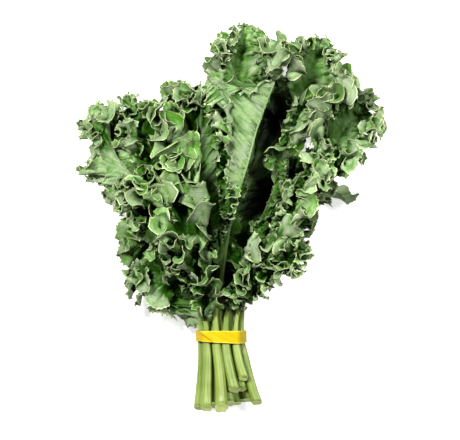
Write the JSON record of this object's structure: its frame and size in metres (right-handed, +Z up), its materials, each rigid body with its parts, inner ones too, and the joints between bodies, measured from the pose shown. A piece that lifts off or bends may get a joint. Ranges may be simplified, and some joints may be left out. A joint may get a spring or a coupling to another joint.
{
  "type": "bunch of curly kale",
  "caption": "Bunch of long-stalked leaves with ruffled blades, held by an elastic band near the cut ends and lying flat.",
  "frame": {"origin": "middle of the bunch's footprint on the surface that it lies on", "axes": "+Y from the cut ends of the stalks towards the leaf tips, +Z up from the surface, +X to the right when the leaf tips point away"},
  "size_m": [0.2902, 0.3918, 0.1131],
  "materials": {
    "leaf_back_left": "waxy blue-green leaf, paler beneath, with pale margins and a pale yellow-green stalk",
    "leaf_back_top": "waxy blue-green leaf, paler beneath, with pale margins and a pale yellow-green stalk",
    "leaf_back_right": "waxy blue-green leaf, paler beneath, with pale margins and a pale yellow-green stalk",
    "leaf_inner_low_left": "waxy blue-green leaf, paler beneath, with pale margins and a pale yellow-green stalk",
    "leaf_inner_left": "waxy blue-green leaf, paler beneath, with pale margins and a pale yellow-green stalk",
    "leaf_inner_top": "waxy blue-green leaf, paler beneath, with pale margins and a pale yellow-green stalk",
    "leaf_inner_right": "waxy blue-green leaf, paler beneath, with pale margins and a pale yellow-green stalk",
    "leaf_middle_left": "waxy blue-green leaf, paler beneath, with pale margins and a pale yellow-green stalk",
    "leaf_middle_upper_left": "waxy blue-green leaf, paler beneath, with pale margins and a pale yellow-green stalk",
    "leaf_middle_top": "waxy blue-green leaf, paler beneath, with pale margins and a pale yellow-green stalk",
    "leaf_middle_upper_right": "waxy blue-green leaf, paler beneath, with pale margins and a pale yellow-green stalk",
    "leaf_middle_right": "waxy blue-green leaf, paler beneath, with pale margins and a pale yellow-green stalk",
    "leaf_front_left": "waxy blue-green leaf, paler beneath, with pale margins and a pale yellow-green stalk",
    "leaf_front_centre": "waxy blue-green leaf, paler beneath, with pale margins and a pale yellow-green stalk",
    "leaf_front_right": "waxy blue-green leaf, paler beneath, with pale margins and a pale yellow-green stalk",
    "leaf_front_low_right": "waxy blue-green leaf, paler beneath, with pale margins and a pale yellow-green stalk",
    "rubber_band": "smooth satin yellow rubber"
  },
  "bodies": {
    "root": {"leaf_back_left": "leaf_back_left", "leaf_back_top": "leaf_back_top", "leaf_back_right": "leaf_back_right", "leaf_inner_low_left": "leaf_inner_low_left", "leaf_inner_left": "leaf_inner_left", "leaf_inner_top": "leaf_inner_top", "leaf_inner_right": "leaf_inner_right", "leaf_middle_left": "leaf_middle_left", "leaf_middle_upper_left": "leaf_middle_upper_left", "leaf_middle_top": "leaf_middle_top", "leaf_middle_upper_right": "leaf_middle_upper_right", "leaf_middle_right": "leaf_middle_right", "leaf_front_left": "leaf_front_left", "leaf_front_centre": "leaf_front_centre", "leaf_front_right": "leaf_front_right", "leaf_front_low_right": "leaf_front_low_right", "rubber_band": "rubber_band"}
  },
  "joints": []
}
